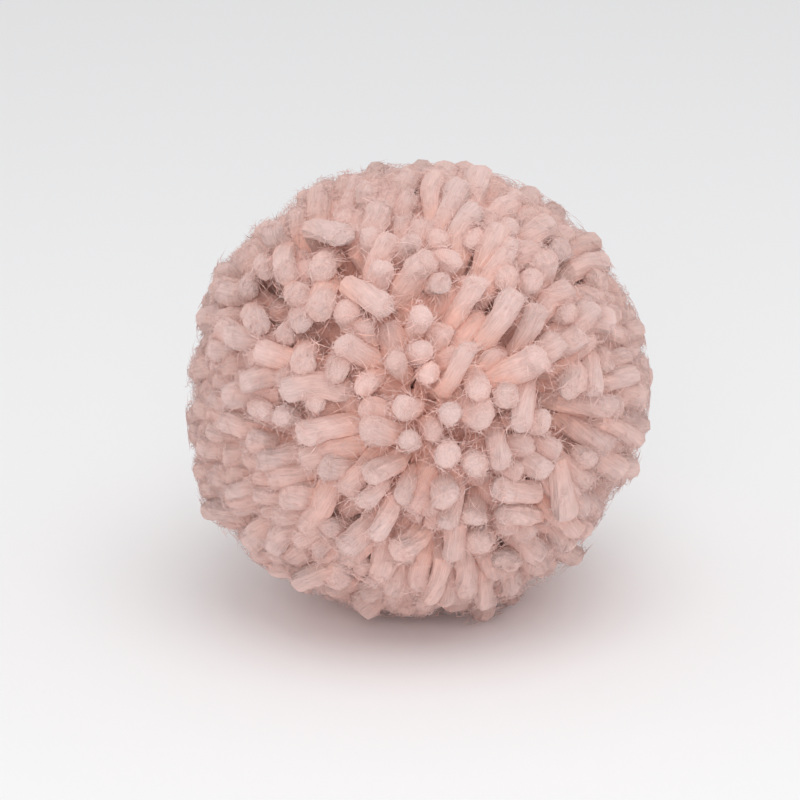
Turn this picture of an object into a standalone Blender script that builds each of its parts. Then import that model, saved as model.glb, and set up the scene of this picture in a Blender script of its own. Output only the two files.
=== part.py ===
"""A pom pom of soft, thick yarn, about 100 mm across, resting on a level spot.

The yarn is laid over and over in a bundle, tied hard at its middle, and cut
and trimmed to a ball. Each lock here stands for three or so cut ends of yarn.
The locks start in the packed middle of the bundle, lean as the yarn naps, and
end at the trimmed surface. Those underneath are shorter and end level on Z = 0.

The nap and the trim are written for the ball's face, which looks to -Y and up.
"""

import math

import bmesh
import bpy
import numpy as np

# Driving sizes, in metres and degrees.
BALL_RADIUS = 0.0500
CENTRE_HEIGHT = 0.0480
PACKED_RADIUS = 0.0270
ROOT_DEPTH = 0.0025
FACE_TILT = 20.0
LOCK_COUNT = 280
SEED = 5

# A lock's half width, from its middle to a corner, at its stations from root to tip. Its
# middle line stops a little inside the trimmed surface, which its corners then reach.
STATIONS = (0.0, 0.42, 0.76, 1.0)
HALF_WIDTHS = (0.0026, 0.0036, 0.0043, 0.0031)
SHARE_OF_ROOM = 0.44
BEND = 1.9
CUT_INSIDE = 0.0018
LENGTH_VARIES = 0.0012
UNEVENNESS = 0.12
# Ends that finish this near the floor rest on it, and come down from this high.
FOOT_REACH = 0.0022
FOOT_RISE = 0.0060
WELD = 0.00001

# The nap. A row is a place on the ball, as fractions of its radius to the right
# of and above the middle of its face and the half of the ball that it is on, the
# way the ends point there, counter-clockwise from the right, and their lean.
FRONT = 1.0
BACK = -1.0
NAP = (
    # right, above, half, heading, lean
    (0.12, -0.10, FRONT, 0.0, 0.0),
    (0.04, 0.42, FRONT, 63.0, 19.0),
    (0.25, 0.40, FRONT, 60.0, 20.0),
    (0.30, 0.08, FRONT, 50.0, 10.0),
    (0.43, 0.02, FRONT, 72.0, 13.0),
    (0.48, 0.36, FRONT, 58.0, 21.0),
    (0.12, 0.80, FRONT, 82.0, 22.0),
    (0.50, 0.70, FRONT, 60.0, 22.0),
    (0.75, 0.42, FRONT, 12.0, 22.0),
    (0.62, 0.05, FRONT, -4.0, 20.0),
    (0.86, -0.05, FRONT, -8.0, 22.0),
    (0.50, -0.28, FRONT, -50.0, 14.0),
    (0.84, -0.38, FRONT, -25.0, 22.0),
    (0.60, -0.65, FRONT, -48.0, 22.0),
    (0.18, -0.72, FRONT, -80.0, 22.0),
    (-0.15, -0.66, FRONT, -118.0, 22.0),
    (-0.50, -0.70, FRONT, -145.0, 22.0),
    (-0.18, -0.38, FRONT, -155.0, 15.0),
    (-0.58, -0.30, FRONT, 180.0, 24.0),
    (-0.86, -0.25, FRONT, 185.0, 22.0),
    (-0.62, 0.04, FRONT, 180.0, 20.0),
    (-0.22, 0.10, FRONT, 145.0, 8.0),
    (-0.53, 0.41, FRONT, 0.0, 0.0),
    (-0.28, 0.42, FRONT, -28.0, 9.0),
    (-0.42, 0.62, FRONT, 40.0, 9.0),
    (-0.36, 0.84, FRONT, 95.0, 18.0),
    (-0.76, 0.50, FRONT, 155.0, 12.0),
    (-0.10, 0.15, BACK, 0.0, 0.0),
    (0.55, 0.30, BACK, 15.0, 22.0),
    (0.50, -0.45, BACK, -50.0, 22.0),
    (-0.25, -0.50, BACK, -105.0, 20.0),
    (-0.70, 0.10, BACK, 180.0, 22.0),
    (-0.20, 0.70, BACK, 100.0, 20.0),
    (0.00, -0.93, BACK, 0.0, 0.0),
)
NAP_EVENNESS = 12.0

# The trim. A row is a place on the outline of the face, counter-clockwise from
# the right, and how far the trimmed surface swells (+) or dips (-) there.
TRIM = (
    # round, swell
    (88.0, -0.030),
    (110.0, 0.015),
    (137.0, 0.035),
    (212.0, 0.050),
    (270.0, -0.020),
    (292.0, 0.020),
    (325.0, -0.040),
)
TRIM_SPREAD = 16.0

YARN_COLOUR = (0.66, 0.41, 0.35, 1.0)
YARN_ROUGHNESS = 0.95


def clear_scene():
    for old in list(bpy.data.objects):
        bpy.data.objects.remove(old)


def new_collection(name):
    collection = bpy.data.collections.new(name)
    bpy.context.scene.collection.children.link(collection)
    return collection


def unit(vectors):
    """Vectors scaled to length 1."""
    return vectors / np.linalg.norm(vectors, axis=-1, keepdims=True)


def on_face(right, above, outward):
    """A vector given along the three axes of the ball's face."""
    tilt = math.radians(FACE_TILT)
    face_right = np.array((1.0, 0.0, 0.0))
    face_up = np.array((0.0, math.sin(tilt), math.cos(tilt)))
    face_out = np.array((0.0, -math.cos(tilt), math.sin(tilt)))
    return right * face_right + above * face_up + outward * face_out


def degrees_from(place, directions):
    return np.degrees(np.arccos(np.clip(directions @ place, -1, 1)))


def nap_at(directions):
    """How the ends lean at these directions, as tangent vectors in radians."""
    total = np.zeros_like(directions)
    weights = np.zeros(len(directions))
    for right, above, half, heading, lean in NAP:
        place = on_face(right, above, half * math.sqrt(1 - right**2 - above**2))
        turn = math.radians(heading)
        flow = on_face(math.cos(turn), math.sin(turn), 0.0)
        flow = unit(flow - flow.dot(place) * place) * math.radians(lean)
        weight = 1 / (degrees_from(place, directions) ** 4 + NAP_EVENNESS**4)
        total += weight[:, None] * flow
        weights += weight
    leans = total / weights[:, None]
    return leans - (leans * directions).sum(1)[:, None] * directions


def trimmed_radius(directions):
    """The trimmed ball's radius at these directions."""
    swell = np.zeros(len(directions))
    for around, amount in TRIM:
        turn = math.radians(around)
        place = on_face(math.cos(turn), math.sin(turn), 0.0)
        swell += amount * np.exp(-((degrees_from(place, directions) / TRIM_SPREAD) ** 2))
    return BALL_RADIUS * (1 + swell)


def lock_directions():
    """The locks' directions halfway along, spread over the ball, the first one straight down."""
    steps = np.arange(LOCK_COUNT)
    height = -1 + (2 * steps + 1) / LOCK_COUNT
    across = np.sqrt(1 - height**2)
    turn = steps * math.pi * (3 - math.sqrt(5))
    directions = np.stack((across * np.cos(turn), across * np.sin(turn), height), 1)
    directions[0] = (0.0, 0.0, -1.0)
    spacing = math.sqrt(4 * math.pi / LOCK_COUNT)
    shift = np.random.default_rng(SEED).normal(0.0, UNEVENNESS * spacing, directions.shape)
    shift[0] = 0.0
    return unit(directions + shift)


def turned(start, end, share):
    """The directions this share of the way from start to end."""
    angle = np.arccos(np.clip((start * end).sum(1), -1, 1))
    angle = np.maximum(angle, 1e-6)[:, None]
    return (np.sin((1 - share) * angle) * start + np.sin(share * angle) * end) / np.sin(angle)


def lock_lines():
    """The centre line of each lock, as points at its stations."""
    halfway = lock_directions()
    half_lean = nap_at(halfway) / 2
    roots = unit(halfway - half_lean)
    tips = unit(halfway + half_lean)
    vary = np.random.default_rng(SEED + 1).uniform(-LENGTH_VARIES, LENGTH_VARIES, LOCK_COUNT)
    start = PACKED_RADIUS - ROOT_DEPTH
    length = trimmed_radius(tips) - CUT_INSIDE + vary - start
    points = []
    for station in STATIONS:
        reach = start + length * station
        points.append(reach[:, None] * turned(roots, tips, station**BEND))
    lines = np.stack(points, 1) + (0.0, 0.0, CENTRE_HEIGHT)
    settle_feet(lines, tips)
    return lines


def settle_feet(lines, tips):
    """Ends the locks that come near the floor level on it, from straight above."""
    last = unit(lines[:, -1] - lines[:, -2])
    droop = HALF_WIDTHS[-1] * np.sqrt(1 - last[:, 2] ** 2)
    for index in np.flatnonzero(lines[:, -1, 2] < droop + FOOT_REACH):
        foot = tips[index] * CENTRE_HEIGHT / -tips[index, 2]
        lines[index, -1] = (foot[0], foot[1], 0.0)
        lines[index, -2] = (foot[0], foot[1], FOOT_RISE)


def room_around(lines):
    """How far each station is from the nearest other lock's centre line."""
    starts = lines[:, :-1].reshape(-1, 3)
    spans = lines[:, 1:].reshape(-1, 3) - starts
    owner = np.repeat(np.arange(len(lines)), len(STATIONS) - 1)
    room = np.empty(lines.shape[:2])
    for index, line in enumerate(lines):
        others = owner != index
        start, span = starts[others], spans[others]
        for station, point in enumerate(line):
            along = ((point - start) * span).sum(1) / (span**2).sum(1)
            nearest = start + np.clip(along, 0, 1)[:, None] * span
            room[index, station] = np.linalg.norm(point - nearest, axis=1).min()
    return room


def lock_curve(lines):
    """A curve with one four-sided, tapered, closed spline for each lock."""
    widths = np.minimum(HALF_WIDTHS, room_around(lines) * SHARE_OF_ROOM)
    curve = bpy.data.curves.new("locks", "CURVE")
    curve.dimensions = "3D"
    curve.bevel_depth = 1.0
    curve.bevel_resolution = 0
    curve.use_fill_caps = True
    for line, half_widths in zip(lines, widths):
        spline = curve.splines.new("POLY")
        spline.points.add(len(line) - 1)
        for point, place, half_width in zip(spline.points, line, half_widths):
            point.co = (*place, 1.0)
            point.radius = half_width
    return curve


def make_locks(collection):
    """All locks as one mesh object, each a closed body that touches no other."""
    route = bpy.data.objects.new("lock_route", lock_curve(lock_lines()))
    collection.objects.link(route)
    bpy.context.view_layer.update()
    evaluated = route.evaluated_get(bpy.context.evaluated_depsgraph_get())
    mesh = bpy.data.meshes.new_from_object(evaluated)
    shape = bmesh.new()
    shape.from_mesh(mesh)
    bmesh.ops.remove_doubles(shape, verts=shape.verts, dist=WELD)
    bmesh.ops.recalc_face_normals(shape, faces=shape.faces)
    shape.to_mesh(mesh)
    shape.free()
    locks = bpy.data.objects.new("locks", mesh)
    locks.matrix_world = route.matrix_world
    collection.objects.link(locks)
    bpy.data.objects.remove(route)
    locks.hide_render = True
    locks.display_type = "WIRE"
    return locks


def make_packed_middle(collection):
    """The bundle's middle, where the yarn is too tightly packed to part."""
    shape = bmesh.new()
    bmesh.ops.create_icosphere(shape, subdivisions=2, radius=PACKED_RADIUS)
    mesh = bpy.data.meshes.new("pom_pom")
    shape.to_mesh(mesh)
    shape.free()
    middle = bpy.data.objects.new("pom_pom", mesh)
    middle.location.z = CENTRE_HEIGHT
    collection.objects.link(middle)
    return middle


def yarn_material():
    material = bpy.data.materials.new("yarn")
    material.use_nodes = True
    shader = material.node_tree.nodes["Principled BSDF"]
    shader.inputs["Base Color"].default_value = YARN_COLOUR
    shader.inputs["Roughness"].default_value = YARN_ROUGHNESS
    shader.inputs["Metallic"].default_value = 0.0
    return material


def make_pom_pom():
    parts = new_collection("yarn_pom_pom")
    guides = new_collection("lock_guides")
    yarn = yarn_material()
    pom_pom = make_packed_middle(parts)
    locks = make_locks(guides)
    for piece in (pom_pom, locks):
        piece.data.materials.clear()
        piece.data.materials.append(yarn)
    union = pom_pom.modifiers.new("locks", "BOOLEAN")
    union.operation = "UNION"
    union.object = locks


clear_scene()
make_pom_pom()
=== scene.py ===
"""The looks of the yarn pom pom: its cut yarn ends and the hairs that stand off them."""

import math

import bpy
import numpy as np
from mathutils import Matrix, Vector
from mathutils.kdtree import KDTree


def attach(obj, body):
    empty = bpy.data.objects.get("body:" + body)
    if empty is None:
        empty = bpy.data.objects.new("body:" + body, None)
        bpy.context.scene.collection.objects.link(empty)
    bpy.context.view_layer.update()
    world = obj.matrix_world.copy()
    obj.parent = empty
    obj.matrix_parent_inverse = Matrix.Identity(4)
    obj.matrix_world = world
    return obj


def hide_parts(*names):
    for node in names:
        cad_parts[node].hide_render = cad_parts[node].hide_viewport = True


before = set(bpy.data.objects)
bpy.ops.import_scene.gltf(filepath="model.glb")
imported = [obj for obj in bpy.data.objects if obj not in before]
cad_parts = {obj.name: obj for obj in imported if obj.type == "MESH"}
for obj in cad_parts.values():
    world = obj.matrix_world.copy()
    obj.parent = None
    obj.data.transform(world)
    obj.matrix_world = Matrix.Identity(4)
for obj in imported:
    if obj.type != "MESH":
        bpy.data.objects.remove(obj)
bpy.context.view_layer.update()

MM = 0.001

# ---------------------------------------------------------------------------
# The ball: its size, place and trim are the part's, and its nap lies a little flatter
# ---------------------------------------------------------------------------

BALL_RADIUS = 50.0 * MM
CENTRE_HEIGHT = 48.0 * MM
CENTRE = np.array((0.0, 0.0, CENTRE_HEIGHT))
FACE_TILT = 20.0  # degrees that the ball's face looks up by
SEED = 11

# The nap. A row is a place, seen straight onto the ball's face, on the near or the far
# half, and the way that the yarn leans there, counter-clockwise from the right.
FRONT = 1.0
BACK = -1.0
NAP = (
    # right and above in ball radii, half, heading and lean in degrees
    (0.12, -0.10, FRONT, 0.0, 0.0),
    (0.04, 0.42, FRONT, 63.0, 21.0),
    (0.25, 0.40, FRONT, 60.0, 23.0),
    (0.30, 0.08, FRONT, 50.0, 14.0),
    (0.43, 0.02, FRONT, 72.0, 16.0),
    (0.48, 0.36, FRONT, 58.0, 25.0),
    (0.12, 0.80, FRONT, 82.0, 25.0),
    (0.50, 0.70, FRONT, 60.0, 25.0),
    (0.75, 0.42, FRONT, 12.0, 25.0),
    (0.62, 0.05, FRONT, -4.0, 23.0),
    (0.86, -0.05, FRONT, -8.0, 25.0),
    (0.50, -0.28, FRONT, -50.0, 17.0),
    (0.84, -0.38, FRONT, -25.0, 25.0),
    (0.60, -0.65, FRONT, -48.0, 25.0),
    (0.18, -0.72, FRONT, -80.0, 25.0),
    (-0.15, -0.66, FRONT, -118.0, 25.0),
    (-0.50, -0.70, FRONT, -145.0, 25.0),
    (-0.18, -0.38, FRONT, -155.0, 18.0),
    (-0.58, -0.30, FRONT, 180.0, 27.0),
    (-0.86, -0.25, FRONT, 185.0, 25.0),
    (-0.62, 0.04, FRONT, 180.0, 23.0),
    (-0.22, 0.10, FRONT, 145.0, 12.0),
    (-0.53, 0.41, FRONT, 0.0, 0.0),
    (-0.28, 0.42, FRONT, -28.0, 12.0),
    (-0.42, 0.62, FRONT, 40.0, 14.0),
    (-0.36, 0.84, FRONT, 95.0, 18.0),
    (-0.76, 0.50, FRONT, 155.0, 16.0),
    (-0.10, 0.15, BACK, 0.0, 0.0),
    (0.55, 0.30, BACK, 15.0, 22.0),
    (0.50, -0.45, BACK, -50.0, 22.0),
    (-0.25, -0.50, BACK, -105.0, 20.0),
    (-0.70, 0.10, BACK, 180.0, 22.0),
    (-0.20, 0.70, BACK, 100.0, 20.0),
    (0.00, -0.93, BACK, 0.0, 0.0),
)
NAP_EVENNESS = 12.0  # degrees within which one place of the nap rules alone

# The trim. A row is a place on the outline of the face, counter-clockwise from the
# right, and how far the trimmed surface swells (+) or dips (-) there.
TRIM = (
    # degrees round the face, swell in ball radii
    (88.0, -0.030),
    (110.0, 0.015),
    (137.0, 0.035),
    (212.0, 0.050),
    (270.0, -0.020),
    (292.0, 0.020),
    (325.0, -0.040),
)
TRIM_SPREAD = 16.0  # degrees

# Small chance swirls, in which neighbouring ends lean together. Half of their lean shows
# everywhere, and much more of it where the nap leans by less than COMBED.
EDDIES = 110
EDDY_SPREAD = 8.5  # degrees, as are the next two
EDDY_LEAN = 6.0
COMBED = 9.0
EDDIES_EVERYWHERE = 0.5
EDDIES_UNCOMBED = 2.3

# ---------------------------------------------------------------------------
# The yarn ends
# ---------------------------------------------------------------------------

END_COUNT = 960
UNEVEN_SPACING = 0.34  # share of the spacing
YARN_HALF_WIDTH = 2.55 * MM
CROWDING = 0.0660  # half width that each end has room for, as a share of the radius
START_RADIUS = 20.0 * MM
STATIONS = np.linspace(0, 1, 12)
BEND = 2.7  # ends leave the middle straight and bend over towards the cut
SWAY = 1.1 * MM
ROOT_SCATTER = 0.02
TIP_SCATTER = 0.06
CUT_INSIDE = 2.2 * MM
LENGTH_VARIES = 1.3 * MM
SHORT_ENDS = 0.18  # share of the ends
SHORTER_BY = (1.5 * MM, 4.5 * MM)

# Ends that lie where they are easily picked out on the face. The shaft is seen from
# the second place to the cut end at the first one.
LEADERS = (
    # cut end right, above, shaft right, above, stands proud by; all in mm
    (-14.0, 37.0, -14.0, 31.0, 0.0),
    (-9.5, 33.0, -9.0, 27.0, 0.5),
    (-15.5, 32.0, -27.0, 32.0, 1.5),
    (-0.5, 31.5, -6.0, 23.5, 1.0),
    (-23.5, 19.0, -23.0, 19.0, 0.5),
    (-20.5, 15.5, -17.5, 20.5, 0.5),
    (-24.0, 13.5, -23.5, 14.5, 0.0),
    (-33.0, 13.0, -32.5, 17.0, 0.5),
    (-36.0, 21.0, -35.5, 24.0, 0.0),
    (-32.0, 25.0, -28.0, 28.5, 0.5),
    (-27.5, 24.0, -26.5, 28.5, 0.5),
    (-20.5, 23.5, -17.0, 28.0, 0.5),
    (-6.5, 16.5, -15.0, 21.5, 1.5),
    (-16.0, 10.0, -8.5, 6.0, 1.0),
    (-5.0, 6.5, -4.0, 4.0, 0.5),
    (-24.0, 3.0, -23.5, 6.5, 1.0),
    (-16.5, 4.0, -15.5, 4.0, 0.0),
    (4.0, 32.0, 2.5, 28.0, 0.0),
    (2.5, 27.5, -4.0, 20.0, 1.0),
    (7.0, 27.5, 3.5, 23.0, 0.0),
    (5.5, 21.5, 1.0, 18.5, 1.0),
    (11.5, 32.0, 9.5, 27.0, 0.0),
    (12.5, 23.0, 6.0, 14.0, 1.0),
    (1.0, 16.0, 0.0, 10.0, 0.0),
    (10.5, 9.5, 1.5, -1.0, 1.5),
    (17.0, 25.0, 14.5, 20.0, 0.0),
    (20.0, 20.5, 13.5, 9.0, 1.0),
    (25.0, 17.5, 19.0, 6.5, 1.0),
    (26.0, 29.0, 21.0, 21.0, 1.0),
    (23.5, 23.5, 20.5, 19.5, 0.0),
    (19.0, 35.0, 16.0, 27.5, 0.5),
    (23.0, 37.5, 19.5, 32.0, 0.5),
    (29.5, 30.5, 26.5, 25.0, 0.5),
    (32.0, 15.0, 27.0, 14.0, 0.5),
    (39.0, 21.5, 30.0, 23.5, 0.5),
    (40.0, 17.5, 30.5, 19.0, 0.0),
    (40.0, 4.0, 33.5, 7.5, 0.0),
    (36.0, -1.0, 32.0, 9.0, 1.5),
    (32.0, -0.5, 29.5, 8.0, 1.0),
    (21.0, -8.5, 22.0, 4.5, 1.0),
    (17.5, -2.0, 17.5, 0.0, 0.5),
    (6.5, -5.0, 6.5, -5.0, 1.5),
    (12.5, -0.5, 12.0, 1.5, 0.5),
    (-4.0, -3.0, 1.5, -7.0, 0.5),
    (-11.5, 0.5, -11.0, 1.5, 0.0),
    (-21.0, -2.0, -19.5, -1.5, 0.0),
    (-33.5, -3.5, -28.0, -3.0, 0.0),
    (-28.5, -5.5, -23.0, -5.0, 0.5),
    (-36.0, -10.0, -26.5, -11.0, 0.5),
    (-25.0, -9.5, -12.0, -7.0, 1.0),
    (-34.0, -15.5, -22.5, -13.0, 1.0),
    (-20.5, -15.5, -11.0, -14.0, 1.0),
    (-32.0, -18.5, -21.0, -15.5, 0.5),
    (-29.0, -22.0, -15.0, -22.0, 1.0),
    (-11.0, -18.0, -3.5, -13.5, 1.0),
    (-2.5, -10.5, -1.5, -10.0, 0.5),
    (-21.0, -27.5, -14.0, -26.0, 0.5),
    (-4.0, -22.5, -1.5, -18.0, 0.5),
    (-5.0, -34.0, 1.5, -26.0, 1.5),
    (-12.0, -36.5, -8.5, -34.0, 0.5),
    (-19.0, -38.0, -14.0, -35.0, 0.5),
    (6.0, -13.5, 6.0, -13.0, 0.5),
    (11.5, -15.5, 11.0, -14.0, 0.5),
    (17.5, -16.5, 15.0, -7.5, 1.0),
    (16.0, -20.5, 26.0, -19.5, 1.0),
    (17.5, -26.0, 25.0, -24.0, 1.0),
    (11.0, -27.0, 10.5, -23.0, 0.5),
    (12.0, -32.0, 11.0, -28.0, 0.5),
    (6.0, -23.5, 5.0, -19.0, 0.5),
    (17.5, -36.0, 22.0, -29.5, 0.5),
    (32.0, -27.0, 24.0, -2.5, 2.0),
    (35.5, -15.0, 30.0, -12.5, 0.5),
    (41.0, -5.5, 25.0, -1.5, 0.5),
    (40.5, -12.0, 27.5, -6.5, 0.5),
)
SHAFT_SEEN_FROM = 38.0 * MM  # from the ball's centre
RIM_ALLOWANCE = 1.02  # keeps the place of a shaft near the outline inside it
MOST_LEAN = 50.0

# Room that other cut ends leave round a leader. A row is a share of the way back from
# its cut end, and the share of that room that is kept there. Ends in it stay short.
CLEAR_OF_LEADERS = 4.3 * MM
KEPT_CLEAR = ((0.0, 1.0), (0.15, 0.85), (0.3, 0.8), (0.45, 0.75), (0.58, 0.7))
UNDER_LEADERS = (35.0 * MM, 43.0 * MM)

# Neighbouring ends are pushed apart step by step until they no longer run through
# each other, though soft yarn stays a little squashed.
SETTLE_ROUNDS = 32
FIND_AGAIN_EVERY = 8
NEIGHBOURS_WITHIN = 2.6 * YARN_HALF_WIDTH
SQUASH = 0.89  # share of their widths that two ends keep apart
PUSH = 0.25
HURRY = 1.6
LEADER_GIVES = 0.3
LOOSENS = 1.4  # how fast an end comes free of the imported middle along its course
HELD_AT_ROOT = 0.15

# Ends that finish this near the floor lie on it, drawn in towards the middle.
FOOT_REACH = 0.6 * YARN_HALF_WIDTH
FOOT_DRAWN_IN = 0.85
FOOT_BEND = 3

generator = np.random.default_rng(SEED)


def unit(vectors):
    return vectors / np.maximum(np.linalg.norm(vectors, axis=-1, keepdims=True), 1e-12)


def on_face(right, above, outward):
    tilt = math.radians(FACE_TILT)
    face_right = np.array((1.0, 0.0, 0.0))
    face_up = np.array((0.0, math.sin(tilt), math.cos(tilt)))
    face_out = np.array((0.0, -math.cos(tilt), math.sin(tilt)))
    return right * face_right + above * face_up + outward * face_out


def degrees_from(place, directions):
    return np.degrees(np.arccos(np.clip(directions @ place, -1, 1)))


def along_surface(flow, directions):
    return flow - (flow * directions).sum(1)[:, None] * directions


def nap_at(directions):
    """Lean of the yarn, from the places of the nap, each weighed by how near it lies."""
    total = np.zeros_like(directions)
    weights = np.zeros(len(directions))
    for right, above, half, heading, lean in NAP:
        place = on_face(right, above, half * math.sqrt(1 - right**2 - above**2))
        turn = math.radians(heading)
        flow = on_face(math.cos(turn), math.sin(turn), 0.0)
        flow = unit(flow - flow.dot(place) * place) * math.radians(lean)
        weight = 1 / (degrees_from(place, directions) ** 4 + NAP_EVENNESS**4)
        total += weight[:, None] * flow
        weights += weight
    return along_surface(total / weights[:, None], directions)


def eddies_at(directions):
    total = np.zeros_like(directions)
    for place in unit(generator.normal(0, 1, (EDDIES, 3))):
        flow = unit(np.cross(place, generator.normal(0, 1, 3))) * math.radians(EDDY_LEAN)
        nearness = np.exp(-((degrees_from(place, directions) / EDDY_SPREAD) ** 2))
        total += flow * nearness[:, None]
    return along_surface(total, directions)


def trimmed_radius(directions):
    swell = np.zeros(len(directions))
    for around, amount in TRIM:
        turn = math.radians(around)
        place = on_face(math.cos(turn), math.sin(turn), 0.0)
        swell += amount * np.exp(-((degrees_from(place, directions) / TRIM_SPREAD) ** 2))
    return BALL_RADIUS * (1 + swell)


def spread_directions(count, unevenness):
    """Directions spread over a ball, each moved a little by chance."""
    steps = np.arange(count)
    height = -1 + (2 * steps + 1) / count
    across = np.sqrt(1 - height**2)
    turn = steps * math.pi * (3 - math.sqrt(5))
    directions = np.stack((across * np.cos(turn), across * np.sin(turn), height), 1)
    spacing = math.sqrt(4 * math.pi / count)
    return unit(directions + generator.normal(0.0, unevenness * spacing, directions.shape))


def turned(start, end, share):
    """Directions this share of the way from start to end, or past it."""
    angle = np.arccos(np.clip((start * end).sum(-1), -1, 1))
    angle = np.maximum(angle, 1e-6)[..., None]
    return (np.sin((1 - share) * angle) * start + np.sin(share * angle) * end) / np.sin(angle)


def face_direction(right, above, radius):
    """Direction from the ball's centre of a place on its face, seen at this radius."""
    outward = math.sqrt(max(radius**2 - right**2 - above**2, 0.0))
    return unit(on_face(right, above, outward))


def leader_ends():
    """Roots, cut ends and lengths of the ends in LEADERS."""
    roots, tips, radii = [], [], []
    for right, above, shaft_right, shaft_above, proud in np.array(LEADERS) * MM:
        radius = BALL_RADIUS - CUT_INSIDE + proud
        tip = face_direction(right, above, radius)
        seen_from = max(SHAFT_SEEN_FROM, RIM_ALLOWANCE * math.hypot(shaft_right, shaft_above))
        shaft = face_direction(shaft_right, shaft_above, seen_from)
        gone = ((seen_from - START_RADIUS) / (radius - START_RADIUS)) ** BEND
        seen = math.acos(min(tip.dot(shaft), 1.0))
        lean = min(seen / (1 - gone), math.radians(MOST_LEAN))
        roots.append(turned(tip, shaft, lean / max(seen, 1e-6)))
        tips.append(tip)
        radii.append(radius)
    return np.array(roots), np.array(tips), np.array(radii)


def clear_of(leader_roots, leader_tips, tips):
    """Which cut ends lie off the leaders' cut ends and the shafts behind them."""
    clear = np.ones(len(tips), bool)
    for share, room in KEPT_CLEAR:
        places = turned(leader_tips, leader_roots, share)
        nearest = np.max(tips @ places.T, axis=1)
        clear &= np.arccos(np.clip(nearest, -1, 1)) * BALL_RADIUS > room * CLEAR_OF_LEADERS
    return clear


def end_lines():
    """The course of every end from root to cut, and how many of them are leaders."""
    halfway = spread_directions(END_COUNT, UNEVEN_SPACING)
    nap = nap_at(halfway)
    combed = np.linalg.norm(nap, axis=1)[:, None] / math.radians(COMBED)
    lean = nap + eddies_at(halfway) * (EDDIES_EVERYWHERE + EDDIES_UNCOMBED * np.exp(-combed**2))
    roots = unit(halfway - 0.5 * lean + generator.normal(0, ROOT_SCATTER, lean.shape))
    tips = unit(halfway + 0.5 * lean + generator.normal(0, TIP_SCATTER, lean.shape))
    radii = trimmed_radius(tips) - CUT_INSIDE + generator.normal(0, LENGTH_VARIES, END_COUNT)
    short = generator.uniform(0, 1, END_COUNT) < SHORT_ENDS
    radii -= short * generator.uniform(*SHORTER_BY, END_COUNT)
    leader_roots, leader_tips, leader_radii = leader_ends()
    clear = clear_of(leader_roots, leader_tips, tips)
    radii = np.where(clear, radii, generator.uniform(*UNDER_LEADERS, END_COUNT))
    roots = np.concatenate((leader_roots, roots))
    tips = np.concatenate((leader_tips, tips))
    radii = np.concatenate((leader_radii, radii))
    sway = generator.normal(0, SWAY, (len(tips), 3))
    lines = []
    for station in STATIONS:
        reach = START_RADIUS + (radii - START_RADIUS) * station
        point = reach[:, None] * turned(roots, tips, station**BEND)
        lines.append(point + sway * math.sin(math.pi * station))
    return np.stack(lines, 1), len(leader_tips)


def room_at(radius):
    """An end's half width this far from the centre, where its neighbours press it."""
    return np.minimum(YARN_HALF_WIDTH, CROWDING * radius)


def tree_of(points):
    tree = KDTree(len(points))
    for index, point in enumerate(points):
        tree.insert(point, index)
    tree.balance()
    return tree


def near_pairs(points, owner):
    """Pairs of points on two ends that lie near enough to touch while they settle."""
    tree = tree_of(points)
    found = []
    for index, point in enumerate(points):
        for _, other, _ in tree.find_range(point, NEIGHBOURS_WITHIN):
            if other > index and owner[other] != owner[index]:
                found.append((index, other))
    return np.array(found).T


def settle(lines, leaders):
    """Parts ends that run through each other, a step at a time, at their own lengths."""
    count, stations, _ = lines.shape
    reach = np.linalg.norm(lines, axis=2)
    needed = (2 * SQUASH * room_at(reach)).reshape(-1)
    owner = np.repeat(np.arange(count), stations)
    loose = np.tile(np.clip(LOOSENS * STATIONS - HELD_AT_ROOT, 0, 1), (count, 1))
    loose[:leaders] *= LEADER_GIVES
    for turn in range(SETTLE_ROUNDS):
        points = lines.reshape(-1, 3)
        if turn % FIND_AGAIN_EVERY == 0:
            one, two = near_pairs(points, owner)
        apart = points[two] - points[one]
        gap = np.linalg.norm(apart, axis=1)
        push = np.clip(0.5 * (needed[one] + needed[two]) - gap, 0, None) / np.maximum(gap, 1e-6)
        step = apart * (PUSH * push)[:, None]
        moves = np.zeros_like(points)
        weight = np.ones(len(points))
        np.add.at(moves, one, -step)
        np.add.at(moves, two, step)
        np.add.at(weight, one, push > 0)
        np.add.at(weight, two, push > 0)
        moves = (moves / np.sqrt(weight)[:, None]).reshape(lines.shape)
        along = unit(np.gradient(lines, axis=1))
        moves -= (moves * along).sum(2, keepdims=True) * along
        smooth = moves.copy()
        smooth[:, 1:-1] = (moves[:, :-2] + 2 * moves[:, 1:-1] + moves[:, 2:]) / 4
        smooth[:, -1] = (moves[:, -1] * 2 + moves[:, -2]) / 3
        lines = unit(lines + smooth * loose[:, :, None] * HURRY) * reach[:, :, None]
    return lines


def settle_feet(lines):
    """Turns the ends that would pass the floor so that they finish on it."""
    for line in lines:
        tip = line[-1]
        if tip[2] < -CENTRE_HEIGHT + FOOT_REACH:
            foot = tip * (FOOT_DRAWN_IN, FOOT_DRAWN_IN, 0.0)
            foot[2] = -CENTRE_HEIGHT
            line += (foot - tip) * (STATIONS**FOOT_BEND)[:, None]
    return lines


# ---------------------------------------------------------------------------
# The bodies of the ends
# ---------------------------------------------------------------------------

TRACK_STATIONS = 33
SIDES = 10
CUT_PROFILE = (
    # back from the cut in mm, share of the half width
    (13.0, 0.95),
    (9.0, 0.96),
    (6.2, 0.98),
    (4.0, 1.00),
    (2.3, 1.00),
    (1.1, 0.93),
    (0.45, 0.76),
    (0.09, 0.45),
)

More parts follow.
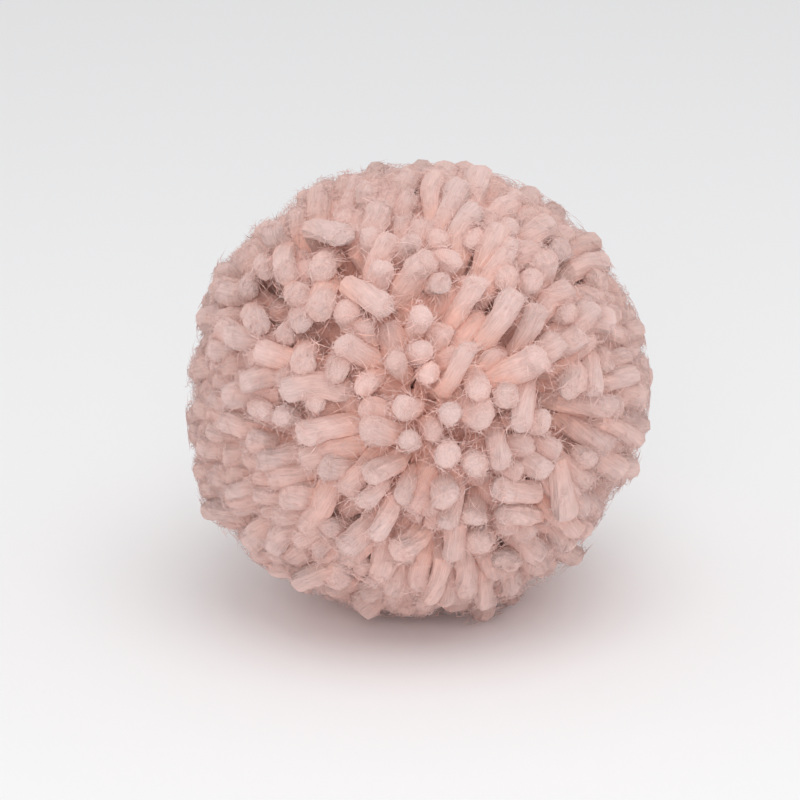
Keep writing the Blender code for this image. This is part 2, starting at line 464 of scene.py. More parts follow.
# How the ends differ. Where there are two values, they are the mean and the spread.
THICKNESS = (1.03, 0.11)
MOST_FLATTENED = 0.20
SWOLLEN_CUT = (0.04, 0.05)
SWOLLEN_OVER = 3.0 * MM
CUT_SLANT = 0.16
SLANT_SHARPNESS = 8  # the higher, the nearer to the cut the slant begins
TWIST = (1.6, 0.6)  # radians from root to cut
LUMPS = (
    # share of the half width, lobes round the yarn, radians that they wind for each mm,
    # the chance angle that they start at, radians that they come and go by for each mm,
    # and the chance angle of that
    (0.055, 1, 0.35, 0, 0.55, 1),
    (0.050, 2, 0.00, 2, 0.90, 3),
    (0.050, 1, 1.30, 3, 0.00, 0),
    (0.035, 3, 0.00, 1, 0.00, 0),
    (0.012, 5, 0.00, 0, 0.00, 0),
)
CHANCE_ANGLES = 4
FLATTENED_AT = 2  # the chance angle that the flat sides go by
RAGGED_WIDTH = 0.04  # share of the half width
RAGGED_LENGTH = 0.16 * MM
RAGGED_OVER = 2.5 * MM

# Tint makes an end paler or darker as a whole. Shade is painted shade: it runs from 0 on a pale
# cut end at the surface to 1 on a salmon shaft deep in the ball, redder the deeper it lies and the
# further back from the cut, and SALMON is how much more of it an end has, at random.
TINT_SPREAD = 0.5
SALMON = (0.02, 0.08)
SALMON_LIMITS = (-0.16, 0.18)
DEPTH_COUNTS = 0.6
BACK_COUNTS = 0.28
PALE_WITHIN = 1.6 * MM
DEEP_AFTER = 10.0 * MM
# Patches of painted light and shade over the face: the middle and the upper left are painted more
# salmon, the top and the right are painted paler, as the light falls.
PAINTED_LIGHT_PATCHES = (
    # right and above in ball radii, spread in degrees, how much more salmon
    (0.00, 0.08, 22.0, 0.08),
    (-0.45, 0.50, 15.0, 0.07),
    (0.25, 0.85, 22.0, -0.08),
    (0.85, 0.10, 25.0, -0.08),
)
# Painted shade between ends: a side that touches a neighbouring end is painted up to SHUT_IN_SHADE
# more salmon.
NEIGHBOUR_NEAR = 1.9 * YARN_HALF_WIDTH
NEIGHBOUR_TOUCHES = 1.0 * YARN_HALF_WIDTH
SHUT_IN_SHADE = 0.38

GRAIN_STARTS_WITHIN = 1000.0  # mm, so that no two ends show the same fibres

# The maps that colours are baked to: bodies side by side, hairs by their colour.
MAP_COLUMNS = 12
MAP_MARGIN = 0.02
MAP_SPREAD = 0.003
HAIRS_FROM = 0.02
HAIRS_OVER = 0.95
TINT_RANGE = (-4.0, 5.5)

# Share by which normals turn to the ball's own, and how far they stay off the plane of
# their face.
BODY_SOFTNESS = 0.72
HAIR_SOFTNESS = 0.8
LEAST_FACING = 0.15


class Yarn:
    """Every yarn end's course, at evenly spaced stations from root to cut end."""

    def __init__(self, lines):
        spans = np.linalg.norm(np.diff(lines, axis=1), axis=2)
        travel = np.concatenate((np.zeros((len(lines), 1)), np.cumsum(spans, 1)), 1)
        self.count = len(lines)
        self.length = travel[:, -1]
        self.centre = np.empty((self.count, TRACK_STATIONS, 3))
        for index in range(self.count):
            even = np.linspace(0, self.length[index], TRACK_STATIONS)
            for axis in range(3):
                course = lines[index, :, axis]
                self.centre[index, :, axis] = np.interp(even, travel[index], course)
        self.along = unit(np.gradient(self.centre, axis=1))
        chord = unit(self.centre[:, -1] - self.centre[:, 0])
        spin = unit(np.cross(chord, generator.normal(0, 1, chord.shape)))[:, None]
        self.side = unit(spin - (spin * self.along).sum(2, keepdims=True) * self.along)
        self.over = np.cross(self.along, self.side)
        self.thick = generator.normal(*THICKNESS, self.count)
        self.flat = generator.uniform(0.0, MOST_FLATTENED, self.count)
        self.swell = generator.normal(*SWOLLEN_CUT, self.count)
        self.angle = generator.uniform(0, 2 * math.pi, (self.count, CHANCE_ANGLES))
        self.slant = generator.normal(0, CUT_SLANT, self.count)
        self.twist = generator.normal(*TWIST, self.count)
        self.tint = np.clip(generator.normal(0, TINT_SPREAD, self.count), -1, 1)
        self.salmon = np.clip(generator.normal(*SALMON, self.count), *SALMON_LIMITS)

    def lumps(self, owner, turn, back):
        """How far soft lumps stand out here, as a share of the half width."""
        run = back / MM
        total = np.zeros(len(owner))
        for amount, lobes, winding, starts, waving, waves in LUMPS:
            lump = amount * np.sin(lobes * turn + self.angle[owner, starts] + winding * run)
            if waving:
                lump *= np.sin(waving * run + self.angle[owner, waves])
            total += lump
        return total

    def half_width(self, owner, share, turn):
        """Uneven and a little flattened, squeezed at the root and swollen at the cut."""
        back = np.clip(1 - share, 0, None) * self.length[owner]
        pressed = room_at(START_RADIUS + share * self.length[owner])
        swollen = 1 + self.swell[owner] * np.exp(-((back / SWOLLEN_OVER) ** 2))
        lumps = self.lumps(owner, turn, back)
        flattened = self.flat[owner] * np.cos(2 * (turn + self.angle[owner, FLATTENED_AT]))
        return pressed * self.thick[owner] * swollen * (1 + lumps + flattened)

    def place(self, owner, share, turn, reach, past=0.0):
        """Points this share along an end, turned round it, this far from its middle."""
        position = np.clip(share, 0, 1) * (TRACK_STATIONS - 1)
        low = np.clip(position.astype(int), 0, TRACK_STATIONS - 2)
        part = (position - low)[:, None]
        twisted = turn + self.twist[owner] * share
        centre, side, over, along = (
            table[owner, low] * (1 - part) + table[owner, low + 1] * part
            for table in (self.centre, self.side, self.over, self.along)
        )
        out = np.cos(twisted)[:, None] * side + np.sin(twisted)[:, None] * over
        slant = self.slant[owner] * reach * np.cos(turn) * share**SLANT_SHARPNESS
        past = np.broadcast_to(past, len(owner)) + slant
        return centre + out * reach[:, None] + along * past[:, None]


def shade_of(points, back):
    """Painted shade, from 0 on a pale cut end at the surface to 1 on a shaft deep in the ball,
    with the patches of painted light and shade over the face added.
    """
    arm = points - CENTRE
    depth = trimmed_radius(unit(arm)) - np.linalg.norm(arm, axis=1)
    painted_patches = np.zeros(len(points))
    for right, above, spread, amount in PAINTED_LIGHT_PATCHES:
        place = on_face(right, above, math.sqrt(1 - right**2 - above**2))
        painted_patches += amount * np.exp(-((degrees_from(place, unit(arm)) / spread) ** 2))
    inside = DEPTH_COUNTS * depth + BACK_COUNTS * back - PALE_WITHIN
    return np.clip(inside / DEEP_AFTER + painted_patches, 0, 1)


def shut_in(yarn, owner, points):
    """From 0 in the open to 1 on a side that touches a neighbouring end."""
    tree = tree_of(yarn.centre.reshape(-1, 3))
    nearest = np.full(len(points), NEIGHBOUR_NEAR)
    for index, point in enumerate(points):
        for _, other, away in tree.find_range(point, NEIGHBOUR_NEAR):
            if other // TRACK_STATIONS != owner[index]:
                nearest[index] = min(nearest[index], away)
    return np.clip((NEIGHBOUR_NEAR - nearest) / (NEIGHBOUR_NEAR - NEIGHBOUR_TOUCHES), 0, 1)


def repeated(faces, per, count):
    """The faces of one form, for each of count forms of per points."""
    return (faces[None] + (np.arange(count) * per)[:, None, None]).reshape(-1, 3)


def body_faces(stations):
    """The triangles of one body, and where their corners lie on its unrolled side."""
    grid = np.arange(stations * SIDES).reshape(stations, SIDES)
    ahead = np.roll(grid, -1, 1)
    across, up = np.meshgrid(np.arange(SIDES), np.arange(stations))
    spot = np.stack((across, up), -1).astype(float)
    next_spot = spot + (1, 0)
    root = np.full(SIDES, stations * SIDES)
    faces, places = [], []
    for corners, spots in (
        ((grid[:-1], ahead[:-1], ahead[1:]), (spot[:-1], next_spot[:-1], next_spot[1:])),
        ((grid[:-1], ahead[1:], grid[1:]), (spot[:-1], next_spot[1:], spot[1:])),
        ((ahead[0], grid[0], root), (next_spot[0], spot[0], spot[0] + (0.5, -1))),
        ((grid[-1], ahead[-1], root + 1), (spot[-1], next_spot[-1], spot[-1] + (0.5, 1))),
    ):
        faces.append(np.stack(corners, -1).reshape(-1, 3))
        places.append(np.stack(spots, -2).reshape(-1, 3, 2))
    unrolled = (np.concatenate(places) + (0, 1)) / (SIDES, stations + 1)
    return np.concatenate(faces), unrolled


def side_by_side(unrolled, count):
    """Bake places of count bodies, each with a cell of the map of its own."""
    rows = math.ceil(count / MAP_COLUMNS)
    cells = np.stack((np.arange(count) % MAP_COLUMNS, np.arange(count) // MAP_COLUMNS), 1)
    inside = MAP_MARGIN + (1 - 2 * MAP_MARGIN) * unrolled
    return (inside[None] + cells[:, None, None]) / (MAP_COLUMNS, rows)


def yarn_bodies(yarn, chosen):
    """The bodies of the chosen ends: rings from root to cut, closed at both."""
    count = len(chosen)
    back, width = np.array(CUT_PROFILE).T * ((MM,), (1,))
    profile = np.concatenate(((1.0,), width))
    length = yarn.length[chosen][:, None]
    shares = np.concatenate((np.zeros((count, 1)), 1 - back / length), 1)
    stations = len(profile)
    rings = stations * SIDES
    owner = np.repeat(chosen, rings)
    share = np.repeat(shares, SIDES, 1).ravel()
    sides = 2 * math.pi * np.arange(SIDES) / SIDES
    turn = np.tile(sides, count * stations)
    reach = yarn.half_width(owner, share, turn) * np.tile(np.repeat(profile, SIDES), count)
    ragged = np.concatenate(((0.0,), np.clip(1 - back / RAGGED_OVER, 0, 1)))
    ragged = np.tile(np.repeat(ragged, SIDES), count)
    reach *= 1 + RAGGED_WIDTH * ragged * generator.normal(0, 1, len(reach))
    past = RAGGED_LENGTH * ragged * generator.normal(0, 1, len(reach))
    ring = yarn.place(owner, share, turn, reach, past).reshape(count, -1, 3)
    nought = np.zeros(count)
    root = yarn.place(chosen, nought, nought, nought)[:, None]
    cut = yarn.place(chosen, nought + 1, nought, nought)[:, None]
    points = np.concatenate((ring, root, cut), 1).reshape(-1, 3)
    per = rings + 2
    everyone = np.repeat(chosen, per)
    run = np.concatenate((((1 - shares) * length).repeat(SIDES, 1), length, length * 0), 1).ravel()
    around = np.tile(np.concatenate((np.tile(sides, stations), (0.0, 0.0))), count)
    wide = np.tile(np.concatenate((np.repeat(profile, SIDES), (0.0, 0.0))), count)
    grain = np.stack((np.cos(around) * wide, np.sin(around) * wide, run / MM), 1)
    grain[:, 2] += np.repeat(generator.uniform(0, GRAIN_STARTS_WITHIN, count), per)
    # Painted shade: deeper in the ball, back from the cut, and where ends touch.
    shade = shade_of(points, run) + SHUT_IN_SHADE * shut_in(yarn, everyone, points)
    attributes = {
        "shade": np.clip(shade + yarn.salmon[everyone], 0, 1),
        "tint": yarn.tint[everyone],
        "grain": grain,
    }
    faces, unrolled = body_faces(stations)
    return points, repeated(faces, per, count), attributes, side_by_side(unrolled, count)


# ---------------------------------------------------------------------------
# The hairs
# ---------------------------------------------------------------------------

THIRDS = (0.0, 2 * math.pi / 3, 4 * math.pi / 3)

# Hairs that rise past the trimmed surface, or past the cut end that they grow on, by
# more than the first value are laid back by this share of the rest.
RISES_BY = 0.2 * MM
LAID_BACK = 0.8

# Where the hairs grow. BACK_STARTS and INWARD are cosines: of the direction from which
# ends count as the back, and of the one from which a side looks into the ball.
BACK_STARTS = -0.25
BACK_HAIRS = 0.5
SHORT_END_HAIRS = 0.4
INWARD = -0.25

# Where there are two values for a kind of hair, they are the least and the most, or for
# what is said to vary, the mean and the spread. Pairs of lengths and widths are in mm.
FUZZ_REACH = 0.40  # share of an end's length, back from the cut
FUZZ_CROWDS = 1.9  # the higher, the nearer to the cut they crowd
FUZZ_SLOPE_VARIES = (0.2, 0.9)  # radians off the way that the yarn runs
FUZZ_RISE = (3.0, 48.0)  # degrees
FUZZ_SHORTEST = 0.6 * MM
FUZZ_LONGER_BY = 2.3 * MM
FUZZ_MOSTLY_SHORT = 1.4  # the higher, the more of them are short
FUZZ_HALF_WIDTH = (0.045, 0.10)
FUZZ_ROOTED = 0.95  # share of the yarn's half width
FUZZ_DRAWN_IN = 0.12  # share of the yarn's half width for each mm past the cut
FUZZ_GOES_ON = 0.6  # share that is kept of what lies past the cut

CUT_HAIR_INSIDE = (0.25, 1.0)  # share of the cut face's area, from its middle
CUT_HAIR_SPREAD_VARIES = (0.04, 0.14)
CUT_HAIR_PAST = (0.15, 1.0)
CUT_HAIR_ROUNDED = 0.5 * MM  # so much less at the rim
CUT_HAIR_ROOTED = 0.9 * MM
CUT_HAIR_REACH = 0.86  # share of the yarn's half width
CUT_HAIR_TURNS = 0.2
CUT_HAIR_HALF_WIDTH = (0.07, 0.14)

STRAY_STEPS = 3
STRAY_BACK = (0.3, 7.0)
STRAY_HEADING_VARIES = 1.0
STRAY_LENGTH = (2.0, 6.5)
STRAY_CURL = 0.4
STRAY_WOBBLE = 0.2
STRAY_LIES_DOWN = 1.5  # over 1, so that what rises off the ball bends back to it
STRAY_BACK_COUNTS = 0.5
STRAY_HALF_WIDTH = (0.05, 0.085)

# Colour of the hairs beside that of their yarn: the fuzz and the cut hairs keep most of their
# yarn's painted shade and are painted paler, as painted light on fine hairs; stray ones take their
# yarn's painted shade with more salmon for the gaps, are painted a little paler, and vary at
# random over any colour that is in the ball.
CLOSE_HAIR_SHADE = 0.05
CLOSE_HAIR_SHADE_KEPT = 0.7
CLOSE_HAIR_PAINTED_LIGHT = (1.3, 0.25)
STRAY_SHADE = 0.25
STRAY_KEEPS = 0.75
STRAY_SHADE_VARIES = 0.2
STRAY_PALER = (0.8, 1.6)


def corners_round(points, half_width, ahead, chance):
    """Three corners round each point, square to the way that the hair heads."""
    lean = unit(np.cross(ahead, chance))
    over = np.cross(ahead, lean)
    return [
        points + half_width * (math.cos(turn) * lean + math.sin(turn) * over)
        for turn in THIRDS
    ]


def needles(courses, half_width):
    """Closed three-sided needles, each from a foot to a point."""
    count = len(courses)
    ahead = unit(courses[:, 1] - courses[:, 0])
    chance = generator.normal(0, 1, (count, 3))
    foot = corners_round(courses[:, 0], half_width[:, None], ahead, chance)
    points = np.stack(foot + [courses[:, 1]], 1)
    faces = np.array(((0, 2, 1), (0, 1, 3), (1, 2, 3), (2, 0, 3)))
    return points.reshape(-1, 3), repeated(faces, 4, count), np.array((0, 0, 0, 1))


def long_hairs(courses, half_width):
    """Closed three-sided hairs along rows of points, pointed at both ends."""
    count, steps, _ = courses.shape
    ahead = unit(courses[:, 2:] - courses[:, :-2])
    chance = generator.normal(0, 1, (count, 1, 3))
    rings = corners_round(courses[:, 1:-1], half_width[:, None, None], ahead, chance)
    rings = np.stack(rings, 2).reshape(count, -1, 3)
    points = np.concatenate((courses[:, :1], rings, courses[:, -1:]), 1)
    per = 3 * (steps - 2) + 2
    last = per - 4
    faces = []
    for side in range(3):
        after = (side + 1) % 3
        faces.append((0, 1 + after, 1 + side))
        for step in range(steps - 3):
            a, b = 1 + 3 * step + side, 1 + 3 * step + after
            faces += [(a, b, b + 3), (a, b + 3, a + 3)]
        faces.append((per - 1, last + side, last + after))
    station = np.concatenate(((0,), np.repeat(np.arange(1, steps - 1), 3), (steps - 1,)))
    return points.reshape(-1, 3), repeated(np.array(faces), per, count), station


def combed_down(yarn, owner, courses):
    """Courses with whatever rises past the trimmed surface, or past the cut end that they
    grow on, laid back onto it."""
    arm = courses - CENTRE
    reach = np.linalg.norm(arm, axis=2, keepdims=True)
    heading = arm / reach
    surface = trimmed_radius(heading.reshape(-1, 3)).reshape(reach.shape)
    own = np.linalg.norm(yarn.centre[owner, -1] - CENTRE, axis=1)[:, None, None]
    over = np.clip(reach - np.maximum(surface, own) - RISES_BY, 0, None)
    return CENTRE + heading * (reach - LAID_BACK * over)


def visible_owners(yarn, count):
    """Ends for hairs to grow on: more for long ends, and for the face than the back."""
    tips = yarn.centre[:, -1] - CENTRE
    long = np.linalg.norm(tips, axis=1) > trimmed_radius(unit(tips)) - CUT_INSIDE - SHORTER_BY[1]
    faces = unit(tips) @ on_face(0.0, 0.0, 1.0) > BACK_STARTS
    weight = np.where(long, 1.0, SHORT_END_HAIRS) * np.where(faces, 1.0, BACK_HAIRS)
    return generator.choice(yarn.count, count, p=weight / weight.sum())


def outer_turns(yarn, owner, share):
    """Turns round the ends, none of them on the side that looks into the ball."""
    turn = generator.uniform(0, 2 * math.pi, len(owner))
    middle = yarn.place(owner, share, turn, np.zeros(len(owner)))
    out = unit(yarn.place(owner, share, turn, np.full(len(owner), MM)) - middle)
    inward = (out * unit(middle - CENTRE)).sum(1) < INWARD
    return np.where(inward, turn + math.pi, turn)


def fuzz(yarn, count):
    """Short hairs that stand off the ends' sides, most of them near the cut."""
    owner = visible_owners(yarn, count)
    share = 1 - FUZZ_REACH * generator.uniform(0, 1, count) ** FUZZ_CROWDS
    turn = outer_turns(yarn, owner, share)
    slope = generator.normal(*FUZZ_SLOPE_VARIES, count)
    rise = np.radians(generator.uniform(*FUZZ_RISE, count))
    length = FUZZ_LONGER_BY * generator.uniform(0, 1, count) ** FUZZ_MOSTLY_SHORT + FUZZ_SHORTEST
    rows, backs = [], []
    for step in (0.0, 1.0):
        gone = length * np.cos(rise) * step
        here = share + gone * np.cos(slope) / yarn.length[owner]
        past = np.clip(here - 1, 0, None) * yarn.length[owner]
        around = turn + gone * np.sin(slope) / YARN_HALF_WIDTH
        off = 1 - FUZZ_ROOTED + length * np.sin(rise) / YARN_HALF_WIDTH
        reach = FUZZ_ROOTED + off * step - FUZZ_DRAWN_IN * past / MM
        reach *= yarn.half_width(owner, here, around)
        rows.append(yarn.place(owner, here, around, reach, FUZZ_GOES_ON * past))
        backs.append(np.clip(1 - here, 0, None) * yarn.length[owner])
    courses = combed_down(yarn, owner, np.stack(rows, 1))
    return owner, courses, np.stack(backs, 1), generator.uniform(*FUZZ_HALF_WIDTH, count) * MM


def cut_hairs(yarn, count):
    """Fibres that stand on the cut faces and round their rims, and soften them."""
    owner = visible_owners(yarn, count)
    turn = generator.uniform(0, 2 * math.pi, count)
    inside = generator.uniform(*CUT_HAIR_INSIDE, count) ** 0.5
    spread = generator.normal(*CUT_HAIR_SPREAD_VARIES, count)
    past = generator.uniform(*CUT_HAIR_PAST, count) * MM - CUT_HAIR_ROUNDED * inside**4
    rows = []
    for back, step in ((CUT_HAIR_ROOTED, 0.0), (0.0, 1.0)):
        share = 1 - back / yarn.length[owner]
        reach = yarn.half_width(owner, share, turn) * inside * (CUT_HAIR_REACH + spread * step)
        around = turn + CUT_HAIR_TURNS * spread * step
        rows.append(yarn.place(owner, share, around, reach, past * step))
    courses = combed_down(yarn, owner, np.stack(rows, 1))
    half_width = generator.uniform(*CUT_HAIR_HALF_WIDTH, count) * MM
    return owner, courses, np.zeros((count, 2)), half_width


def stray_hairs(yarn, count):
    """Long fine hairs that wander over neighbouring ends and the gaps between them."""
    owner = visible_owners(yarn, count)
    share = 1 - generator.uniform(*STRAY_BACK, count) * MM / yarn.length[owner]
    turn = generator.uniform(0, 2 * math.pi, count)
    start = yarn.place(owner, share, turn, yarn.half_width(owner, share, turn))
    ahead = yarn.along[owner, (share * (TRACK_STATIONS - 1)).astype(int)]
    heading = unit(ahead + generator.normal(0, STRAY_HEADING_VARIES, (count, 3)))
    length = generator.uniform(*STRAY_LENGTH, count) * MM
    curl = generator.normal(0, STRAY_CURL, (count, 3))
    courses = [start]
    for _ in range(STRAY_STEPS - 1):
        point = courses[-1]
        radial = unit(point - CENTRE)
        rising = np.clip((heading * radial).sum(1)[:, None], 0, None)
        wobble = generator.normal(0, STRAY_WOBBLE, (count, 3))
        heading = unit(heading - STRAY_LIES_DOWN * rising * radial + curl + wobble)
        courses.append(point + heading * (length / (STRAY_STEPS - 1))[:, None])
    back = (1 - share) * yarn.length[owner] * STRAY_BACK_COUNTS
    backs = np.repeat(back[:, None], STRAY_STEPS, 1)
    courses = combed_down(yarn, owner, np.stack(courses, 1))
    return owner, courses, backs, generator.uniform(*STRAY_HALF_WIDTH, count) * MM


# Painted shade kept in part from the yarn, and painted light that makes the fuzz and the cut hairs
# paler.
def close_hair_colour(yarn, owner, shade):
    shade = np.clip(CLOSE_HAIR_SHADE + CLOSE_HAIR_SHADE_KEPT * shade + yarn.salmon[owner][:, None], 0, 1)
    return shade, yarn.tint[owner] + generator.normal(*CLOSE_HAIR_PAINTED_LIGHT, len(owner))


# Painted shade of the yarn with more salmon for the gaps, a little painted light, and chance.
def stray_colour(yarn, owner, shade):
    chance = generator.normal(0, STRAY_SHADE_VARIES, (len(owner), 1))
    shade = np.clip(STRAY_SHADE + STRAY_KEEPS * shade + chance, 0, 1)
    return shade, yarn.tint[owner] + generator.normal(*STRAY_PALER, len(owner))


def by_colour(tint, shade, station, count):
    """Bake places of hairs: tint across the map and shade up it, all hairs on one. The
    corners lie a little apart, so that no face is a line there."""
    corner = np.tile(np.arange(len(station)), count)
    across = (tint - TINT_RANGE[0]) / (TINT_RANGE[1] - TINT_RANGE[0])
    places = np.stack((across, shade), 1)
    places += MAP_SPREAD * np.stack((corner % 3 - 1, corner // 3 + (corner % 3 == 1)), 1)
    return HAIRS_FROM + HAIRS_OVER * places


def hair_piece(name, material, yarn, grow, colour, count):
    owner, courses, backs, half_width = grow(yarn, count)
    steps = courses.shape[1]
    form = needles if steps == 2 else long_hairs
    points, triangles, station = form(courses, half_width)
    shade = shade_of(courses.reshape(-1, 3), backs.ravel()).reshape(count, steps)
    shade, tint = colour(yarn, owner, shade)
    shade = shade[:, station].ravel()
    tint = np.repeat(np.clip(tint, *TINT_RANGE), len(station))
    bake_places = by_colour(tint, shade, station, count)[triangles]
    attributes = {"shade": shade, "tint": tint}
    return add_piece(name, material, points, triangles, attributes, bake_places, smooth=False)


# ---------------------------------------------------------------------------
# Meshes
# ---------------------------------------------------------------------------

OFF_FLOOR = 0.05 * MM


def soften(mesh, triangles, share):
    """Turns the normals partly towards the ball's own, as light that sinks into loose
    fibres makes them look, but never past the plane of their own face."""
    count = len(triangles)
    faces = np.empty(count * 3, np.float32)
    mesh.polygons.foreach_get("normal", faces)
    faces = np.repeat(faces.reshape(-1, 3), 3, 0)
    corners = np.empty(count * 9, np.float32)
    mesh.corner_normals.foreach_get("vector", corners)
    corners = corners.reshape(-1, 3)
    places = np.empty(len(mesh.vertices) * 3, np.float32)
    mesh.vertices.foreach_get("co", places)
    outward = unit(places.reshape(-1, 3) - CENTRE)[triangles.ravel()]
    turned_out = unit((1 - share) * corners + share * outward)
    short = np.clip(LEAST_FACING - (turned_out * faces).sum(1), 0, None)
    mesh.normals_split_custom_set(unit(turned_out + short[:, None] * faces))


def build_mesh(name, points, triangles, attributes, bake_places, smooth):
    mesh = bpy.data.meshes.new(name)
    mesh.vertices.add(len(points))
    mesh.vertices.foreach_set("co", np.asarray(points, np.float32).ravel())
    mesh.loops.add(triangles.size)
    mesh.loops.foreach_set("vertex_index", triangles.astype(np.int32).ravel())
    mesh.polygons.add(len(triangles))
    mesh.polygons.foreach_set("loop_start", np.arange(0, triangles.size, 3, dtype=np.int32))
    mesh.update(calc_edges=True)
    for key, values in attributes.items():
        kind, field = ("FLOAT_VECTOR", "vector") if values.ndim == 2 else ("FLOAT", "value")
        layer = mesh.attributes.new(key, kind, "POINT")
        layer.data.foreach_set(field, values.astype(np.float32).ravel())
    bake_map = mesh.uv_layers.new(name="OFBake")
    bake_map.uv.foreach_set("vector", bake_places.astype(np.float32).ravel())
    if smooth:
        mesh.shade_smooth()
    else:
        mesh.shade_flat()
    soften(mesh, triangles, BODY_SOFTNESS if smooth else HAIR_SOFTNESS)
    return mesh


def add_piece(name, material, points, triangles, attributes, bake_places, smooth=True):
    points[:, 2] = np.maximum(points[:, 2], OFF_FLOOR)
    mesh = build_mesh(name, points, triangles, attributes, bake_places, smooth)
    mesh.materials.append(material)
    piece = bpy.data.objects.new(name, mesh)
    bpy.context.scene.collection.objects.link(piece)
    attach(piece, "root")
    return piece


# ---------------------------------------------------------------------------
# Materials
# ---------------------------------------------------------------------------

# Colours of the painted shade ramp: the pale cut end at the surface, the salmon shaft, and the
# redder shaft deep in the ball where shade falls.
PALE_CUT_END = (0.78, 0.560, 0.525, 1)
SHAFT = (0.80, 0.525, 0.470, 1)
SHAFT_SHADE = 0.40
DEEP_SHAFT = (0.91, 0.525, 0.435, 1)
TINT_STRENGTH = 0.07
WOOL_ROUGHNESS = 0.9
SHEEN = 0.6
SHEEN_ROUGHNESS = 0.6
SHEEN_TINT = (1.0, 0.74, 0.67, 1.0)
GRAIN_SCALE = (7.0, 7.0, 0.35)  # fine across the yarn and long along it
GRAIN_DETAIL = 3.0
GRAIN_RANGE = (0.3, 0.7)
STREAKS = (0.88, 1.08)
GRAIN_BUMP = 0.45
GRAIN_DEPTH = 0.4 * MM


def principled(material):
    return next(node for node in material.node_tree.nodes if node.type == "BSDF_PRINCIPLED")


def attribute_node(nodes, name):
    node = nodes.new("ShaderNodeAttribute")
    node.attribute_name = name
    return node


def dye_and_painted_shade():
    """The yarn's colour under painted shade: pale cut ends that run into salmon shafts; no two
    ends are quite alike.
    """
    group = bpy.data.node_groups.new("dye_and_painted_shade", "ShaderNodeTree")
    group.interface.new_socket("Streak", in_out="INPUT", socket_type="NodeSocketFloat")
    group.interface.new_socket("Colour", in_out="OUTPUT", socket_type="NodeSocketColor")
    nodes, links = group.nodes, group.links
    inputs = nodes.new("NodeGroupInput")
    outputs = nodes.new("NodeGroupOutput")
    shade = attribute_node(nodes, "shade")
    tint = attribute_node(nodes, "tint")
    ramp = nodes.new("ShaderNodeValToRGB")
    stops = ramp.color_ramp.elements
    stops[0].position, stops[0].color = 0.0, PALE_CUT_END
    stops[1].position, stops[1].color = 1.0, DEEP_SHAFT
    stops.new(SHAFT_SHADE).color = SHAFT
    brightness = nodes.new("ShaderNodeMath")
    brightness.operation = "MULTIPLY_ADD"
    brightness.inputs[1].default_value = TINT_STRENGTH
    scaled = nodes.new("ShaderNodeVectorMath")
    scaled.operation = "SCALE"
    links.new(shade.outputs["Fac"], ramp.inputs["Fac"])
    links.new(tint.outputs["Fac"], brightness.inputs[0])
    links.new(inputs.outputs["Streak"], brightness.inputs[2])
    links.new(ramp.outputs["Color"], scaled.inputs[0])
    links.new(brightness.outputs[0], scaled.inputs["Scale"])
    links.new(scaled.outputs[0], outputs.inputs["Colour"])
    return group


def wool(name, colour_group):
    material = bpy.data.materials.new(name)
    material.use_nodes = True
    shader = principled(material)
    shader.inputs["Roughness"].default_value = WOOL_ROUGHNESS
    shader.inputs["Specular IOR Level"].default_value = 0.0
    colour = material.node_tree.nodes.new("ShaderNodeGroup")
    colour.node_tree = colour_group
    colour.inputs["Streak"].default_value = 1.0
    material.node_tree.links.new(colour.outputs["Colour"], shader.inputs["Base Color"])
    return material, colour


def roving(colour_group):
    """The bodies' wool: its fibres run along the yarn, in streaks and fine ridges."""
    material, colour = wool("wool_roving", colour_group)
    shader = principled(material)
    shader.inputs["Sheen Weight"].default_value = SHEEN
    shader.inputs["Sheen Roughness"].default_value = SHEEN_ROUGHNESS
    shader.inputs["Sheen Tint"].default_value = SHEEN_TINT
    nodes, links = material.node_tree.nodes, material.node_tree.links
    grain = attribute_node(nodes, "grain")
    drawn = nodes.new("ShaderNodeMapping")
    drawn.inputs["Scale"].default_value = GRAIN_SCALE
    fibres = nodes.new("ShaderNodeTexNoise")
    fibres.inputs["Scale"].default_value = 1.0
    fibres.inputs["Detail"].default_value = GRAIN_DETAIL
    streak = nodes.new("ShaderNodeMapRange")
    for end, seen, streaked in zip(("Min", "Max"), GRAIN_RANGE, STREAKS):
        streak.inputs["From " + end].default_value = seen
        streak.inputs["To " + end].default_value = streaked
    bump = nodes.new("ShaderNodeBump")
    bump.inputs["Strength"].default_value = GRAIN_BUMP
    bump.inputs["Distance"].default_value = GRAIN_DEPTH
    links.new(grain.outputs["Vector"], drawn.inputs["Vector"])
    links.new(drawn.outputs["Vector"], fibres.inputs["Vector"])
    links.new(fibres.outputs["Fac"], streak.inputs["Value"])
    links.new(streak.outputs["Result"], colour.inputs["Streak"])
    links.new(fibres.outputs["Fac"], bump.inputs["Height"])
    links.new(bump.outputs["Normal"], shader.inputs["Normal"])
    return material


# ---------------------------------------------------------------------------
# Stage, light and camera
# ---------------------------------------------------------------------------

FLOOR_HALF = 6.0
FLOOR_COLOUR = (0.962, 0.964, 0.975, 1)
FLOOR_ROUGHNESS = 0.95
FLOOR_SHINE = 0.1
STUDIO_WHITE = (1, 1, 1, 1)
STUDIO_STRENGTH = 0.65
SOFTBOXES = (
    # name, place, width in m, power in W
    ("softbox_above", (0.10, -0.28, 0.90), 0.80, 2.5),
    ("softbox_front", (-0.08, -1.00, 0.47), 0.55, 2.3),
)
BOUNCES = 16
SOFT_BOUNCES = 10

# The ball is framed as wide, and as far off the middle of the picture, as this.
CAMERA_DISTANCE = 0.8
PICTURE_PIXELS = 800
BALL_PIXELS = 461.0
BALL_RIGHT_PIXELS = 18.0
BALL_ABOVE_PIXELS = 10.0
SENSOR = 36.0
NEAREST_SEEN = 0.01


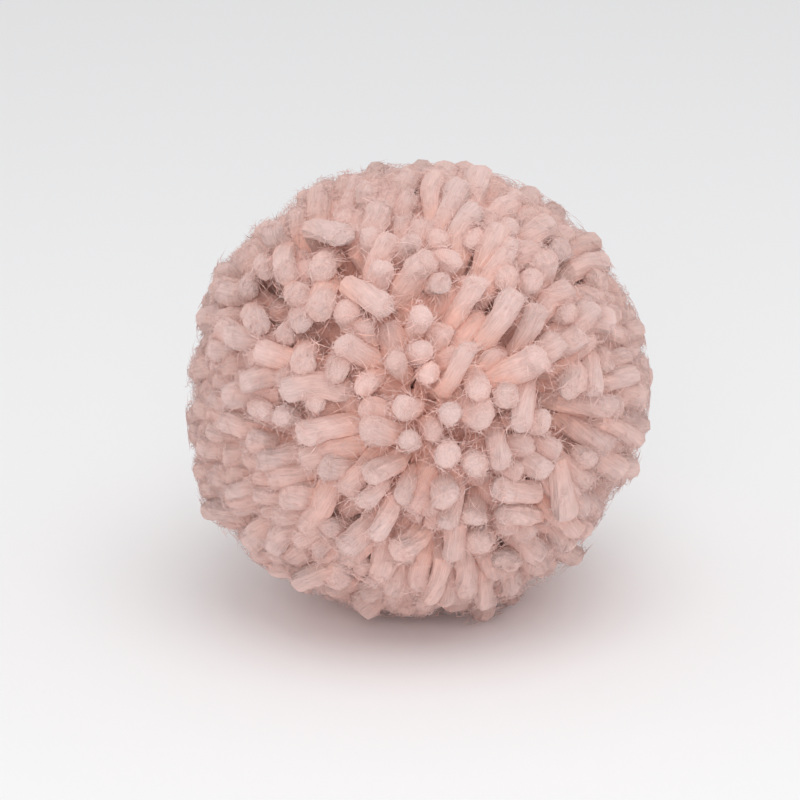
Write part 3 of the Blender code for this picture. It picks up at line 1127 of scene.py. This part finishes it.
def stage():
    paint = bpy.data.materials.new("floor_paint")
    paint.use_nodes = True
    shader = principled(paint)
    shader.inputs["Base Color"].default_value = FLOOR_COLOUR
    shader.inputs["Roughness"].default_value = FLOOR_ROUGHNESS
    shader.inputs["Specular IOR Level"].default_value = FLOOR_SHINE
    mesh = bpy.data.meshes.new("floor")
    half = FLOOR_HALF
    corners = [(-half, -half, 0), (half, -half, 0), (half, half, 0), (-half, half, 0)]
    mesh.from_pydata(corners, [], [(0, 1, 2, 3)])
    mesh.materials.append(paint)
    floor = bpy.data.objects.new("floor", mesh)
    bpy.context.scene.collection.objects.link(floor)


def softbox(name, place, width, power):
    light = bpy.data.lights.new(name, "AREA")
    light.shape = "DISK"
    light.size = width
    light.energy = power
    lamp = bpy.data.objects.new(name, light)
    lamp.location = place
    aim = Vector(CENTRE) - Vector(place)
    lamp.rotation_euler = aim.to_track_quat("-Z", "Y").to_euler()
    bpy.context.scene.collection.objects.link(lamp)


def studio():
    world = bpy.data.worlds.new("studio")
    world.use_nodes = True
    background = world.node_tree.nodes["Background"]
    background.inputs["Color"].default_value = STUDIO_WHITE
    background.inputs["Strength"].default_value = STUDIO_STRENGTH
    scene = bpy.context.scene
    scene.world = world
    for box in SOFTBOXES:
        softbox(*box)
    scene.view_settings.view_transform = "Standard"
    scene.cycles.max_bounces = BOUNCES
    scene.cycles.diffuse_bounces = SOFT_BOUNCES


def camera():
    pixel = 2 * BALL_RADIUS / BALL_PIXELS
    data = bpy.data.cameras.new("camera")
    data.sensor_width = SENSOR
    data.lens = SENSOR * CAMERA_DISTANCE / (PICTURE_PIXELS * pixel)
    data.clip_start = NEAREST_SEEN
    view = bpy.data.objects.new("camera", data)
    out = Vector(on_face(0, 0, 1))
    aside = Vector(on_face(BALL_RIGHT_PIXELS * pixel, BALL_ABOVE_PIXELS * pixel, 0))
    view.location = Vector(CENTRE) - aside + out * CAMERA_DISTANCE
    view.rotation_euler = (-out).to_track_quat("-Z", "Y").to_euler()
    bpy.context.scene.collection.objects.link(view)
    bpy.context.scene.camera = view


# ---------------------------------------------------------------------------
# The pieces
# ---------------------------------------------------------------------------

HAIR_BATCHES = (
    # name, how they grow, their colour, count
    ("fuzz_1", fuzz, close_hair_colour, 42000),
    ("fuzz_2", fuzz, close_hair_colour, 42000),
    ("cut_hairs", cut_hairs, close_hair_colour, 26000),
    ("stray_hairs_1", stray_hairs, stray_colour, 30000),
    ("stray_hairs_2", stray_hairs, stray_colour, 30000),
)


def dress():
    lines, leaders = end_lines()
    yarn = Yarn(settle_feet(settle(lines, leaders)) + CENTRE)
    colour_group = dye_and_painted_shade()
    body = roving(colour_group)
    hair, _ = wool("wool_hair", colour_group)
    order = np.arange(yarn.count)
    low = yarn.centre[:, -1, 2] < CENTRE_HEIGHT
    lower = add_piece("yarn_lower", body, *yarn_bodies(yarn, order[low]))
    add_piece("yarn_upper", body, *yarn_bodies(yarn, order[~low]))
    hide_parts("pom_pom")
    for name, grow, colour, count in HAIR_BATCHES:
        hair_piece(name, hair, yarn, grow, colour, count)


stage()
studio()
camera()
dress()
